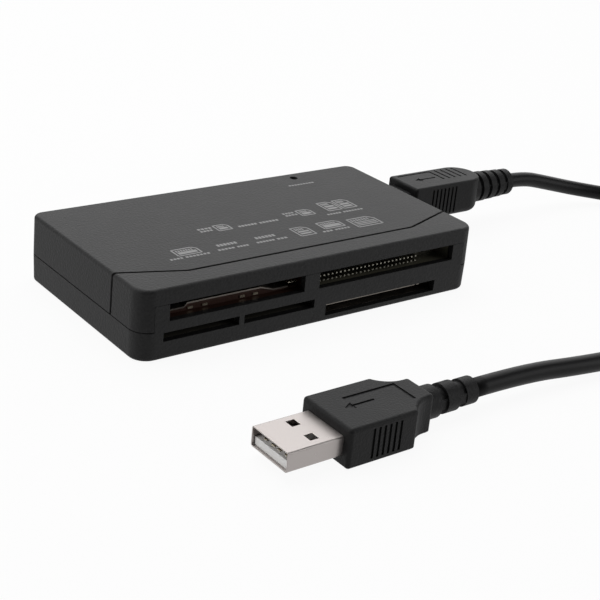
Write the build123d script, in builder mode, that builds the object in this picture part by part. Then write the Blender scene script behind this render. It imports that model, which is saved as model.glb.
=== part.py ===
# USB memory card reader with a detachable cable, in millimetres.
# Frame: origin at the middle of the reader's underside, +X along the width towards the cable
# socket, +Y to the back, +Z up. The card slots face -Y and the reader rests on Z = 0.
from build123d import *
import os
from math import cos, pi, radians, sin, tan

os.makedirs("parts", exist_ok=True)

# Upper card slots, from left to right
left_margin = 7.8
wide_slot_w = 37.2
middle_post_w = 4.4
pin_slot_w = 43.0
connector_floor_t = 0.7
upper_slot_h = 4.1

# Lower card slots, from left to right
lower_margin = 6.4
thin_slot_w = 20.3
thin_slot_gap = 1.4
thin_slot_z = 4.5
thin_slot_h = 2.2
flat_slot_gap = 3.65
flat_slot_w = 35.3
flat_slot_z = 1.6
flat_slot_h = 3.0

# Housing
width = 100.0
depth = 53.5
bezel_strip_h = 3.9
wall = 1.8
floor_t = 1.2
roof_t = 1.6
front_corner_r = 4.5
back_corner_r = 3.0
edge_r = 0.9
draft_angle = 1.0
seam_above_board = 0.1
seam_gap = 0.2
bezel_gap = 0.7
lip_h = 1.2
lip_clear = 0.15
insert_margin = 4.0
insert_gap = 0.06
bezel_side_len = 13.2
bezel_top_len = 6.9
bezel_slant_w = 14.5
bezel_slant_len = 5.1
bezel_flat_w = 2.0
bezel_kink_r = 2.0
tongue_reach = 2.4
tongue_t = 1.0
tongue_clear = 0.1

# Circuit board and the posts that clamp it
socket_ceiling_t = 0.4
board_t = 1.5
board_clear = 1.2
board_corner_r = 1.0
post_d = 4.4
post_pin_d = 2.1
post_pin_len = 4.4
post_side = 10.0
post_back = 6.8
boss_d = 5.2
pin_fit = 0.15

# Pin card connector
guide_t = 1.2
slot_clear = 0.1
pin_tip_depth = 2.0
pin_len = 4.6
pin_tail = 1.0
pin_side = 0.45
pin_tip_bevel = 0.1
pin_pitch = 1.27
pin_column_count = 25
pin_row_count = 2
pin_row_z = 1.55
pin_left = 1.6
header_t = 4.0
header_gap_w = 5.3
hood_t = 0.75

# Wide card connector with its stepped metal plate
base_front = 3.7
base_len = 17.0
base_side = 0.8
plate_t = 0.35
plate_lead = 0.4
plate_right = 2.6
shelf_left_h = 1.1
ridge_h = 2.0
shelf_right_h = 0.8
ridge_left = 6.5
ridge_w = 20.2
ridge_rise_left = 0.8
ridge_rise_right = 3.7
base_back_t = 3.0
finger_w = 0.7
finger_t = 0.25
finger_h = 3.2
long_finger_h = 1.5
finger_long = 17.4
finger_short = 6.0
finger_dip = 0.9
long_finger_dip = 0.4
finger_bend_share = 0.75
finger_pitch = 1.5
long_finger_pitch = 0.95
long_finger_count = 3
short_finger_count = 9
tab_w = 1.3
tab_h = 0.5
tab_t = 0.25
tab_z = 0.45
tab_places = (7.5, 11.4, 21.7, 25.4)

# Lower card sockets
thin_socket_wall = 0.6
thin_socket_floor = 0.4
thin_socket_len = 21.0
thin_card_len = 18.0
contact_w = 0.7
contact_t = 0.15
contact_len = 8.0
contact_pitch = 2.0
contact_depth = 9.0
thin_contact_count = 8
flat_shell_t = 0.3
flat_shell_side = 0.4
flat_shell_len = 21.5
flat_lip_w = 28.8
flat_lip_set = 0.45
flat_tab_gap = 0.5
flat_tab_w = 0.8
flat_notch_len = 9.0
flat_contact_count = 9

# Cable socket and the plug that fits it
socket_w = 7.7
socket_h = 3.9
socket_wall = 0.3
socket_taper = 1.0
socket_len = 9.0
socket_set = 0.1
socket_back = 15.3
socket_opening_clear = 0.3
plug_fit = 0.15
tongue_w = 4.2
tongue_h = 0.8
tongue_len = 5.0
tongue_root = 1.6
tongue_fit = 0.25
plug_shell_t = 0.25
plug_shell_out = 6.7
plug_shell_in = 4.0

# Moulded grip of the cable plug
nose_gap = 0.6
nose_len = 7.0
nose_w = 8.8
nose_h = 6.4
grip_len = 27.5
grip_w = 12.6
grip_h = 10.2
grip_edge_r = 0.8
grip_bottom_r = 2.0
grip_round_len = 6.3
rib_count = 7
rib_pitch = 1.45
rib_w = 0.6
rib_depth = 0.4
rib_margin = 1.1
rib_start = 6.2
groove_w = 0.6
groove_depth = 0.3
panel_len = 12.4
panel_edge = 1.5
panel_start = 1.8
bar_count = 4
bar_pitch = 2.2
bar_len = 7.0
arrow_l = 7.6
arrow_head_l = 2.2
arrow_head_w = 2.4
arrow_start = 4.6

# Strain reliefs, both moulded with their grips
relief_len = 16.0
relief_embed = 2.2
relief_root_r = 4.6
relief_tip_r = 3.9
relief_core_r = 3.2
relief_ring_count = 5
relief_ring_share = 0.6
relief_web_h = 2.2

# Flat plug at the other end, lying on its back on the surface
shell_w = 12.0
shell_h = 4.5
shell_len = 13.4
shell_seat = 6.0
shell_t = 0.3
shell_corner_r = 0.5
window_l = 2.1
window_w = 2.3
window_set = 7.7
window_y = 3.0
blade_t = 1.8
blade_clear = 0.1
blade_set = 0.6
strip_w = 1.0
strip_t = 0.2
strip_len = 7.4
strip_set = 1.0
strip_inner_y = 1.0
strip_outer_y = 3.5
body_len = 17.4
body_w = 16.0
body_h = 9.0
body_edge_r = 0.9
neck_len = 7.6
neck_w = 8.8
neck_straight = 1.6
body_rib_count = 6
body_rib_pitch = 1.4
body_rib_start = 5.8
body_panel_start = 6.6
body_panel_len = 13.8
body_panel_w = 7.2
body_groove_w = 0.8
plug_tip_x = -49.2
plug_line_y = -75.4
flat_relief_len = 14.5
flat_relief_root_r = 3.7
flat_relief_tip_r = 3.1
flat_relief_core_r = 2.6
flat_relief_ring_count = 3

# Status light
light_d = 2.0
light_fit = 0.1
light_set = 1.2
light_flange_d = 3.4
light_flange_t = 0.6
light_right = 22.7
light_back = 3.85
led_l = 2.0
led_w = 1.25
led_h = 0.9

# Small parts on the board
chip_x = 16.7
chip_side = 7.0
chip_h = 1.4
chip_lead_reach = 1.0
chip_lead_w = 0.25
chip_lead_t = 0.2
chip_lead_pitch = 0.5
chip_lead_count = 12
crystal_l = 11.0
crystal_w = 4.6
crystal_h = 3.4
crystal_rim = 0.5
crystal_rim_t = 0.4
chip_part_l = 2.0
chip_part_w = 1.25
capacitor_h = 1.0
capacitor_x = -16.7
capacitor_column_count = 3
capacitor_row_count = 2
resistor_h = 0.5
resistor_x = -25.0
resistor_column_count = 2
resistor_row_count = 4
chip_part_pitch = 3.2

# Cord
cord_d = 4.4
cord_straight = 8.0
arc_share = 0.45
coil_r = 26.5
coil_section_w = 9.8
coil_section_h = 9.2
coil_bevel = 2.7
coil_x = 128.0
coil_y = -50.0
tie_w = 5.0
tie_t = 0.6
tie_angle = -45.0

# Places worked out from the sizes above
half_w = width / 2
front_y = -depth / 2
back_y = depth / 2
board_z = thin_slot_z + thin_slot_h + socket_ceiling_t
board_top = board_z + board_t
seam_z = board_z + seam_above_board
upper_slot_z = board_top + connector_floor_t
front_top_z = upper_slot_z + upper_slot_h
height = front_top_z + bezel_strip_h
roof_z = height - roof_t
wall_back_y = front_y + wall
insert_half = half_w - insert_margin

wide_x0 = -half_w + left_margin
wide_x1 = wide_x0 + wide_slot_w
pin_x0 = wide_x1 + middle_post_w
pin_x1 = pin_x0 + pin_slot_w
thin_x0 = -half_w + lower_margin
thin_x1 = thin_x0 + thin_slot_w + thin_slot_gap
flat_x0 = thin_x1 + thin_slot_w + flat_slot_gap
flat_x1 = flat_x0 + flat_slot_w

light_x = half_w - light_right
light_y = back_y - light_back

socket_y = back_y - socket_back
socket_z = board_top + socket_h / 2
socket_face_x = half_w - socket_set
base_front_y = front_y + base_front
base_back_y = base_front_y + base_len
post_x = half_w - post_side
post_rear_y = back_y - post_back
post_middle_y = (base_back_y + base_back_t + socket_y - socket_w / 2) / 2
post_points = [(x, y) for x in (-post_x, post_x) for y in (post_middle_y, post_rear_y)]
nose_x = half_w + nose_gap
grip_x = nose_x + nose_len
grip_end_x = grip_x + grip_len
relief_x = grip_end_x - relief_embed
relief_end_x = relief_x + relief_len

body_x = plug_tip_x + shell_len
neck_x = body_x + body_len
neck_end_x = neck_x + neck_len
flat_relief_end_x = neck_end_x + flat_relief_len
plug_line_z = body_h / 2

cord_r = cord_d / 2


def block(x, y, z, mode=Mode.ADD):
    """Box between two limits on each axis, in the active part."""
    with Locations(((x[0] + x[1]) / 2, (y[0] + y[1]) / 2, (z[0] + z[1]) / 2)):
        Box(x[1] - x[0], y[1] - y[0], z[1] - z[0], mode=mode)


def plan(z, inset=0.0):
    """Return the housing's plan at height z, set in from its side faces."""
    with BuildSketch(Plane.XY.offset(z)) as outline:
        Rectangle(width - 2 * inset, depth - 2 * inset)
        fillet(outline.vertices().group_by(Axis.Y)[0], front_corner_r - inset)
        fillet(outline.vertices().group_by(Axis.Y)[-1], back_corner_r - inset)
    return outline.sketch


def bezel_plan(shift):
    """Return the area in front of the top seam, moved back by shift."""
    side_y = front_y + bezel_side_len + shift
    slant_x = half_w - bezel_flat_w
    slant_y = front_y + bezel_top_len + bezel_slant_len + shift
    kink_x = slant_x - bezel_slant_w
    kink_y = front_y + bezel_top_len + shift
    outside_x = half_w + wall
    outside_y = front_y - wall
    with BuildSketch(Plane.XY.offset(seam_z - wall)) as area:
        with BuildLine():
            seam = FilletPolyline(
                (-outside_x, side_y),
                (-slant_x, slant_y),
                (-kink_x, kink_y),
                (kink_x, kink_y),
                (slant_x, slant_y),
                (outside_x, side_y),
                radius=bezel_kink_r,
            )
            Polyline(seam @ 1, (outside_x, outside_y), (-outside_x, outside_y), seam @ 0)
        make_face()
    return area.sketch


# Outer bodies of the housing: widest at the side seam, with draft both ways
with BuildPart() as lower_blank:
    extrude(plan(0, seam_z * tan(radians(draft_angle))), amount=seam_z - seam_gap / 2, taper=-draft_angle)
    fillet(lower_blank.faces().sort_by(Axis.Z)[0].edges(), edge_r)

with BuildPart() as upper_blank:
    extrude(plan(seam_z - seam_gap / 2), amount=height - seam_z + seam_gap / 2, taper=draft_angle)
    fillet(upper_blank.faces().sort_by(Axis.Z)[-1].edges(), edge_r)

with BuildPart() as front_wall_blank:
    add(upper_blank.part)
    block(
        (-insert_half, insert_half),
        (front_y - wall, wall_back_y),
        (seam_z - seam_gap, front_top_z),
        mode=Mode.INTERSECT,
    )

# Bottom shell: a tray whose front wall rises between the corners and carries the slots
with BuildPart() as bottom_shell:
    add(lower_blank.part)
    extrude(plan(seam_z - seam_gap / 2, wall / 2 + lip_clear), amount=lip_h + seam_gap / 2)
    extrude(plan(floor_t, wall), amount=height, mode=Mode.SUBTRACT)
    add(front_wall_blank.part)
    through_front = (front_y - wall, wall_back_y + lip_clear)
    above_slots = (upper_slot_z, height)
    thin_z = (thin_slot_z, thin_slot_z + thin_slot_h)
    block((wide_x0, wide_x1), through_front, above_slots, mode=Mode.SUBTRACT)
    block((pin_x0, pin_x1), through_front, above_slots, mode=Mode.SUBTRACT)
    block((thin_x0, thin_x0 + thin_slot_w), through_front, thin_z, mode=Mode.SUBTRACT)
    block((thin_x1, thin_x1 + thin_slot_w), through_front, thin_z, mode=Mode.SUBTRACT)
    flat_z = (flat_slot_z, flat_slot_z + flat_slot_h)
    block((flat_x0, flat_x1), through_front, flat_z, mode=Mode.SUBTRACT)
    with BuildSketch(Plane.XY.offset(floor_t)):
        with Locations(*post_points):
            Circle(boss_d / 2)
    extrude(amount=board_z - floor_t)
    with BuildSketch(Plane.XY.offset(board_z)):
        with Locations(*post_points):
            Circle(post_pin_d / 2 + pin_fit)
    extrude(amount=-(post_pin_len - board_t + pin_fit), mode=Mode.SUBTRACT)
bottom_shell.part.label = "bottom_shell"
export_step(bottom_shell.part, "parts/bottom_shell.step")

# Top cover: roof, back and rear side walls, with posts that clamp the board
with BuildPart() as top_cover:
    add(upper_blank.part)
    split(bisect_by=Plane.XY.offset(seam_z + seam_gap / 2), keep=Keep.TOP)
    extrude(bezel_plan(bezel_gap / 2), amount=height, mode=Mode.SUBTRACT)
    extrude(plan(seam_z, wall / 2), amount=lip_h + lip_clear, mode=Mode.SUBTRACT)
    extrude(plan(seam_z, wall), amount=roof_z - seam_z, mode=Mode.SUBTRACT)
    with BuildSketch(Plane.XY.offset(roof_z)):
        with Locations(*post_points):
            Circle(post_d / 2)
    extrude(amount=-(roof_z - board_top))
    with BuildSketch(Plane.XY.offset(board_top)):
        with Locations(*post_points):
            Circle(post_pin_d / 2)
    extrude(amount=-post_pin_len)
    with Locations((light_x, light_y, height)):
        Cylinder(light_d / 2 + light_fit, 2 * roof_t + wall, mode=Mode.SUBTRACT)
    block(
        (half_w - 2 * wall, half_w + wall),
        (socket_y - socket_w / 2 - socket_opening_clear, socket_y + socket_w / 2 + socket_opening_clear),
        (socket_z - socket_h / 2 - socket_opening_clear, socket_z + socket_h / 2 + socket_opening_clear),
        mode=Mode.SUBTRACT,
    )
top_cover.part.label = "top_cover"
export_step(top_cover.part, "parts/top_cover.step")

# Front bezel: wraps the front corners and closes the upper slots, tucked under the top cover
with BuildPart() as front_bezel:
    add(upper_blank.part)
    split(bisect_by=Plane.XY.offset(seam_z + seam_gap / 2), keep=Keep.TOP)
    extrude(bezel_plan(-bezel_gap / 2), amount=height + wall, mode=Mode.INTERSECT)
    extrude(plan(seam_z, wall / 2), amount=lip_h + lip_clear, mode=Mode.SUBTRACT)
    extrude(plan(seam_z, wall), amount=roof_z - seam_z, mode=Mode.SUBTRACT)
    block(
        (-insert_half - insert_gap, insert_half + insert_gap),
        (front_y - wall, wall_back_y + lip_clear),
        (seam_z, front_top_z + insert_gap),
        mode=Mode.SUBTRACT,
    )
    tongue_half = half_w - bezel_flat_w - bezel_slant_w
    seam_y = front_y + bezel_top_len
    block(
        (-tongue_half, tongue_half),
        (seam_y - tongue_reach, seam_y + tongue_reach),
        (roof_z - tongue_t, roof_z - tongue_clear),
    )
    block(
        (-tongue_half, tongue_half),
        (seam_y - tongue_reach, seam_y - bezel_gap),
        (roof_z - tongue_t, roof_z),
    )
front_bezel.part.label = "front_bezel"
export_step(front_bezel.part, "parts/front_bezel.step")

# Circuit board, clamped between the bosses and the posts
with BuildPart() as main_board:
    with BuildSketch(Plane.XY.offset(board_z)) as board_outline:
        Rectangle(width - 2 * wall - 2 * board_clear, depth - 2 * wall - 2 * lip_clear)
        fillet(board_outline.vertices(), board_corner_r)
        with Locations(*post_points):
            Circle(post_pin_d / 2 + pin_fit, mode=Mode.SUBTRACT)
    extrude(amount=board_t)
main_board.part.label = "main_board"
export_step(main_board.part, "parts/main_board.step")

# Pin card connector: a U-shaped housing with a hood and a wall of square holes for the pins
header_y = front_y + pin_tip_depth + pin_len
header_back_y = header_y + header_t
connector_front_y = wall_back_y + slot_clear
pin_mid_x = pin_x0 + pin_left + pin_pitch * (pin_column_count - 1) / 2
pin_mid_z = upper_slot_z + pin_row_z


def pin_grid(y, side):
    """Return the square sections of all pins on the plane at y."""
    with BuildSketch(Plane.XZ.offset(-y)) as sections:
        with Locations((pin_mid_x, pin_mid_z)):
            with GridLocations(pin_pitch, pin_pitch, pin_column_count, pin_row_count):
                Rectangle(side, side)
    return sections.sketch


with BuildPart() as pin_card_connector:
    outer_x0 = pin_x0 - slot_clear - guide_t
    outer_x1 = pin_x1 + slot_clear + guide_t
    block((outer_x0, outer_x1), (connector_front_y, header_back_y), (board_top, front_top_z))
    block(
        (pin_x0 - slot_clear, pin_x1 + slot_clear),
        (connector_front_y, header_y),
        (upper_slot_z - slot_clear, height),
        mode=Mode.SUBTRACT,
    )
    block(
        (pin_x1 + slot_clear - header_gap_w, pin_x1 + slot_clear),
        (header_y, header_back_y),
        (upper_slot_z - slot_clear, height),
        mode=Mode.SUBTRACT,
    )
    block(
        (pin_x0 - slot_clear, pin_x1 + slot_clear - header_gap_w),
        (connector_front_y, header_y),
        (front_top_z - hood_t, front_top_z),
    )
    extrude(pin_grid(header_y, pin_side), amount=-header_t, mode=Mode.SUBTRACT)
pin_card_connector.part.label = "pin_card_connector"
export_step(pin_card_connector.part, "parts/pin_card_connector.step")

with BuildPart() as connector_pins:
    extrude(pin_grid(header_back_y + pin_tail, pin_side), amount=pin_tail + header_t + pin_len)
    chamfer(connector_pins.faces().filter_by(Axis.Y).group_by(Axis.Y)[0].edges(), pin_tip_bevel)
connector_pins.part.label = "connector_pins"
export_step(connector_pins.part, "parts/connector_pins.step")

# Wide card connector: a stepped base, a stamped plate that follows it, contact fingers and tabs
base_x0 = wide_x0 - base_side
base_x1 = wide_x1 + base_side
ridge_x0 = wide_x0 + ridge_left
ridge_x1 = ridge_x0 + ridge_w
plate_end_x = wide_x1 - plate_right


def step_line(lower, end_x):
    """Return the plate's stepped line, left to right up to end_x, lowered by lower."""
    return [
        (base_x0, upper_slot_z + shelf_left_h - lower),
        (ridge_x0 - ridge_rise_left, upper_slot_z + shelf_left_h - lower),
        (ridge_x0, upper_slot_z + ridge_h - lower),
        (ridge_x1, upper_slot_z + ridge_h - lower),
        (ridge_x1 + ridge_rise_right, upper_slot_z + shelf_right_h - lower),
        (end_x, upper_slot_z + shelf_right_h - lower),
    ]


with BuildPart() as wide_card_base:
    with BuildSketch(Plane.XZ.offset(-base_back_y)):
        with BuildLine():
            Polyline((base_x0, board_top), *step_line(plate_t, base_x1), (base_x1, board_top), close=True)
        make_face()
    extrude(amount=base_len)
    block(
        (base_x0, base_x1),
        (connector_front_y, base_front_y),
        (board_top, upper_slot_z - slot_clear),
    )
    for side_x in (base_x0 - guide_t, base_x1):
        block((side_x, side_x + guide_t), (connector_front_y, base_back_y), (board_top, front_top_z))
    block(
        (base_x0 - guide_t, base_x1 + guide_t),
        (base_back_y, base_back_y + base_back_t),
        (board_top, front_top_z),
    )
wide_card_base.part.label = "wide_card_base"
export_step(wide_card_base.part, "parts/wide_card_base.step")

with BuildPart() as wide_card_plate:
    with BuildSketch(Plane.XZ.offset(-base_back_y)):
        with BuildLine():
            Polyline(*step_line(0, plate_end_x), *reversed(step_line(plate_t, plate_end_x)), close=True)
        make_face()
    extrude(amount=base_len + plate_lead)
wide_card_plate.part.label = "wide_card_plate"
export_step(wide_card_plate.part, "parts/wide_card_plate.step")

with BuildPart() as contact_fingers:
    long_last_x = wide_x1 - finger_w / 2
    short_last_x = ridge_x1 - finger_pitch
    for count, reach, pitch, last_x, rise, dip in (
        (long_finger_count, finger_long, long_finger_pitch, long_last_x, long_finger_h, long_finger_dip),
        (short_finger_count, finger_short, finger_pitch, short_last_x, finger_h, finger_dip),
    ):
        finger_z = upper_slot_z + rise
        for i in range(count):
            bend_y = base_back_y - finger_bend_share * reach
            tip_y = base_back_y - reach
            with BuildSketch(Plane.YZ.offset(last_x - i * pitch)):
                with BuildLine():
                    Polyline(
                        (base_back_y, finger_z),
                        (bend_y, finger_z - dip),
                        (tip_y, finger_z),
                        (tip_y, finger_z + finger_t),
                        (bend_y, finger_z - dip + finger_t),
                        (base_back_y, finger_z + finger_t),
                        close=True,
                    )
                make_face()
            extrude(amount=finger_w / 2, both=True)
    for tab_x in tab_places:
        block(
            (wide_x0 + tab_x - tab_w / 2, wide_x0 + tab_x + tab_w / 2),
            (base_front_y - tab_t, base_front_y),
            (upper_slot_z + tab_z - tab_h / 2, upper_slot_z + tab_z + tab_h / 2),
        )
contact_fingers.part.label = "contact_fingers"
export_step(contact_fingers.part, "parts/contact_fingers.step")


# Lower sockets for thin cards, hung under the board
def thin_socket(slot_x):
    """Make one open-fronted socket behind the slot that starts at slot_x, in the active part."""
    outer_x = (slot_x - thin_socket_wall, slot_x + thin_slot_w + thin_socket_wall)
    socket_y0 = wall_back_y + slot_clear
    block(outer_x, (socket_y0, socket_y0 + thin_socket_len), (thin_slot_z - thin_socket_floor, board_z))
    block(
        (slot_x, slot_x + thin_slot_w),
        (socket_y0, socket_y0 + thin_card_len),
        (thin_slot_z, thin_slot_z + thin_slot_h),
        mode=Mode.SUBTRACT,
    )


with BuildPart() as thin_card_socket_left:
    thin_socket(thin_x0)
thin_card_socket_left.part.label = "thin_card_socket_left"
export_step(thin_card_socket_left.part, "parts/thin_card_socket_left.step")

with BuildPart() as thin_card_socket_middle:
    thin_socket(thin_x1)
thin_card_socket_middle.part.label = "thin_card_socket_middle"
export_step(thin_card_socket_middle.part, "parts/thin_card_socket_middle.step")


def contact_row(mid_x, z, count):
    """Lay a row of flat contacts under the ceiling at z, in the active part."""
    with Locations((mid_x, front_y + contact_depth + contact_len / 2, z - contact_t / 2)):
        with GridLocations(contact_pitch, contact_len, count, 1):
            Box(contact_w, contact_len, contact_t)


with BuildPart() as thin_card_contacts:
    for slot_x in (thin_x0, thin_x1):
        contact_row(slot_x + thin_slot_w / 2, thin_slot_z + thin_slot_h, thin_contact_count)
thin_card_contacts.part.label = "thin_card_contacts"
export_step(thin_card_contacts.part, "parts/thin_card_contacts.step")

# Lower right socket: a folded metal shell below a moulded insulator
flat_top_z = flat_slot_z + flat_slot_h - slot_clear
flat_shell_y0 = wall_back_y + slot_clear
flat_lip_y = front_y + flat_lip_set
flat_inner_top_z = flat_top_z - flat_shell_t

with BuildPart() as flat_card_shell:
    shell_x = (flat_x0 - flat_shell_side, flat_x1 + flat_shell_side)
    shell_z = (flat_slot_z - flat_shell_t, flat_top_z)
    block(shell_x, (flat_shell_y0, flat_shell_y0 + flat_shell_len), shell_z)
    block(
        (shell_x[0] + flat_shell_t, shell_x[1] - flat_shell_t),
        (flat_shell_y0, flat_shell_y0 + flat_shell_len - flat_shell_t),
        (flat_slot_z, flat_inner_top_z),
        mode=Mode.SUBTRACT,
    )
    lip_x1 = flat_x0 + slot_clear + flat_lip_w
    tab_x0 = lip_x1 + flat_tab_gap
    block((flat_x0 + slot_clear, lip_x1), (flat_lip_y, flat_shell_y0), (flat_inner_top_z, flat_top_z))
    block((tab_x0, tab_x0 + flat_tab_w), (flat_lip_y, flat_shell_y0), (flat_inner_top_z, flat_top_z))
    block(
        (tab_x0 + flat_tab_w, flat_x1),
        (flat_shell_y0, flat_shell_y0 + flat_notch_len),
        (flat_inner_top_z, flat_top_z),
        mode=Mode.SUBTRACT,
    )
flat_card_shell.part.label = "flat_card_shell"
export_step(flat_card_shell.part, "parts/flat_card_shell.step")

with BuildPart() as flat_card_insulator:
    block(shell_x, (flat_shell_y0, flat_shell_y0 + flat_shell_len), (flat_top_z, board_z))
flat_card_insulator.part.label = "flat_card_insulator"
export_step(flat_card_insulator.part, "parts/flat_card_insulator.step")

with BuildPart() as flat_card_contacts:
    contact_row((flat_x0 + flat_x1) / 2 - contact_pitch, flat_inner_top_z, flat_contact_count)
flat_card_contacts.part.label = "flat_card_contacts"
export_step(flat_card_contacts.part, "parts/flat_card_contacts.step")


# Cable socket on the board's right edge
def socket_section(x, inset):
    """Return the socket's section at x: square-shouldered above and tapered below."""
    half = socket_w / 2 - inset
    up = socket_h / 2 - inset
    with BuildSketch(Plane.YZ.offset(x)) as section:
        with BuildLine():
            Polyline(
                (socket_y - half, socket_z + up),
                (socket_y + half, socket_z + up),
                (socket_y + half, socket_z),
                (socket_y + half - socket_taper, socket_z - up),
                (socket_y - half + socket_taper, socket_z - up),
                (socket_y - half, socket_z),
                close=True,
            )
        make_face()
    return section.sketch


socket_x0 = socket_face_x - socket_len
tongue_x0 = socket_x0 + socket_wall
plug_inset = socket_wall + plug_fit
insert_inset = plug_inset + plug_shell_t
cable_tip_x = nose_x - plug_shell_out

with BuildPart() as cable_socket_shell:
    extrude(socket_section(socket_x0, 0), amount=socket_len)
    extrude(socket_section(tongue_x0, socket_wall), amount=socket_len, mode=Mode.SUBTRACT)
cable_socket_shell.part.label = "cable_socket_shell"
export_step(cable_socket_shell.part, "parts/cable_socket_shell.step")

with BuildPart() as cable_socket_tongue:
    extrude(socket_section(tongue_x0, socket_wall), amount=tongue_root)
    with BuildSketch(Plane.YZ.offset(tongue_x0 + tongue_root)):
        with Locations((socket_y, socket_z)):
            Rectangle(tongue_w, tongue_h)
    extrude(amount=tongue_len)
cable_socket_tongue.part.label = "cable_socket_tongue"
export_step(cable_socket_tongue.part, "parts/cable_socket_tongue.step")

# Small parts on the board, behind the card connectors
chip_y = (post_middle_y + post_rear_y) / 2

with BuildPart() as controller_chip:
    block(
        (chip_x - chip_side / 2, chip_x + chip_side / 2),
        (chip_y - chip_side / 2, chip_y + chip_side / 2),
        (board_top, board_top + chip_h),
    )
    lead_span = chip_side + 2 * chip_lead_reach
    with Locations((chip_x, chip_y, board_top + chip_lead_t / 2)):
        with GridLocations(chip_lead_pitch, 0, chip_lead_count, 1):
            Box(chip_lead_w, lead_span, chip_lead_t)
        with GridLocations(0, chip_lead_pitch, 1, chip_lead_count):
            Box(lead_span, chip_lead_w, chip_lead_t)
controller_chip.part.label = "controller_chip"
export_step(controller_chip.part, "parts/controller_chip.step")

with BuildPart() as crystal_can:
    with BuildSketch(Plane.XY.offset(board_top)):
        with Locations((0, chip_y)):
            SlotOverall(crystal_l, crystal_w)
    extrude(amount=crystal_rim_t)
    with BuildSketch(Plane.XY.offset(board_top + crystal_rim_t)):
        with Locations((0, chip_y)):
            SlotOverall(crystal_l - 2 * crystal_rim, crystal_w - 2 * crystal_rim)
    extrude(amount=crystal_h - crystal_rim_t)
crystal_can.part.label = "crystal_can"
export_step(crystal_can.part, "parts/crystal_can.step")


def chip_parts(mid_x, columns, rows, tall):
    """Lay a grid of small block-shaped components on the board, in the active part."""
    with Locations((mid_x, chip_y, board_top + tall / 2)):
        with GridLocations(chip_part_pitch, chip_part_pitch, columns, rows):
            Box(chip_part_l, chip_part_w, tall)


with BuildPart() as capacitors:
    chip_parts(capacitor_x, capacitor_column_count, capacitor_row_count, capacitor_h)
capacitors.part.label = "capacitors"
export_step(capacitors.part, "parts/capacitors.step")

with BuildPart() as resistors:
    chip_parts(resistor_x, resistor_column_count, resistor_row_count, resistor_h)
resistors.part.label = "resistors"
export_step(resistors.part, "parts/resistors.step")

with BuildPart() as status_led:
    with Locations((light_x, light_y, board_top + led_h / 2)):
        Box(led_l, led_w, led_h)
status_led.part.label = "status_led"
export_step(status_led.part, "parts/status_led.step")

with BuildPart() as status_light_guide:
    guide_z0 = board_top + led_h + light_fit
    with BuildSketch(Plane.XY.offset(guide_z0)):
        with Locations((light_x, light_y)):
            Circle(light_d / 2)
    extrude(amount=height - light_set - guide_z0)
    with BuildSketch(Plane.XY.offset(roof_z - light_fit)):
        with Locations((light_x, light_y)):
            Circle(light_flange_d / 2)
    extrude(amount=-light_flange_t)
status_light_guide.part.label = "status_light_guide"
export_step(status_light_guide.part, "parts/status_light_guide.step")


# Moulded plugs: what both grips share
def relief(x0, axis_y, axis_z, length, root_r, tip_r, core_r, rings):
    """Turn a ringed, tapering strain relief with two side webs from x0 along +X, in the active part."""
    pitch = length / (rings - 1 + relief_ring_share)
    ring_len = pitch * relief_ring_share
    points = [(x0, axis_z), (x0, axis_z + core_r)]
    for i in range(rings):
        ring_x = x0 + i * pitch
        ring_r = root_r + (tip_r - root_r) * i / (rings - 1)
        points += [
            (ring_x, axis_z + ring_r),
            (ring_x + ring_len, axis_z + ring_r),
            (ring_x + ring_len, axis_z + core_r),
        ]
        if i < rings - 1:
            points.append((ring_x + pitch, axis_z + core_r))
    points.append((x0 + length, axis_z))
    with BuildSketch(Plane.XZ.offset(-axis_y)) as half_section:
        with BuildLine():
            Polyline(*points, close=True)
        make_face()
    revolve(half_section.sketch, axis=Axis((x0, axis_y, axis_z), (1, 0, 0)))
    web_half = (tip_r + core_r) / 2
    block(
        (x0, x0 + length - ring_len / 2),
        (axis_y - web_half, axis_y + web_half),
        (axis_z - relief_web_h / 2, axis_z + relief_web_h / 2),
    )


def side_ribs(first_x, count, pitch, mid_y, wide, z0, z1):
    """Cut upright grip grooves in both sides of a grip, in the active part."""
    for i in range(count):
        groove_x = first_x + i * pitch
        for side in (-1, 1):
            face_y = mid_y + side * wide / 2
            groove_y = sorted((face_y - side * rib_depth, face_y + side * rib_depth))
            block((groove_x, groove_x + rib_w), groove_y, (z0, z1), mode=Mode.SUBTRACT)


def arrow(tip_x, mid_y, top_z):
    """Cut a plain arrow that points along -X into a grip's top, in the active part."""
    head_x = tip_x + arrow_head_l
    shaft_y = (mid_y - groove_w / 2, mid_y + groove_w / 2)
    with BuildSketch(Plane.XY.offset(top_z)) as mark:
        with BuildLine():
            Polyline(
                (tip_x, mid_y),
                (head_x, mid_y + arrow_head_w / 2),
                (head_x, shaft_y[1]),
                (tip_x + arrow_l, shaft_y[1]),
                (tip_x + arrow_l, shaft_y[0]),
                (head_x, shaft_y[0]),
                (head_x, mid_y - arrow_head_w / 2),
                close=True,
            )
        make_face()
    extrude(mark.sketch, amount=-groove_depth, mode=Mode.SUBTRACT)


# Cable plug that fits the reader
with BuildPart() as cable_plug_shell:
    shell_total = plug_shell_out + plug_shell_in
    extrude(socket_section(cable_tip_x, plug_inset), amount=shell_total)
    extrude(socket_section(cable_tip_x, insert_inset), amount=shell_total, mode=Mode.SUBTRACT)
cable_plug_shell.part.label = "cable_plug_shell"
export_step(cable_plug_shell.part, "parts/cable_plug_shell.step")

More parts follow.
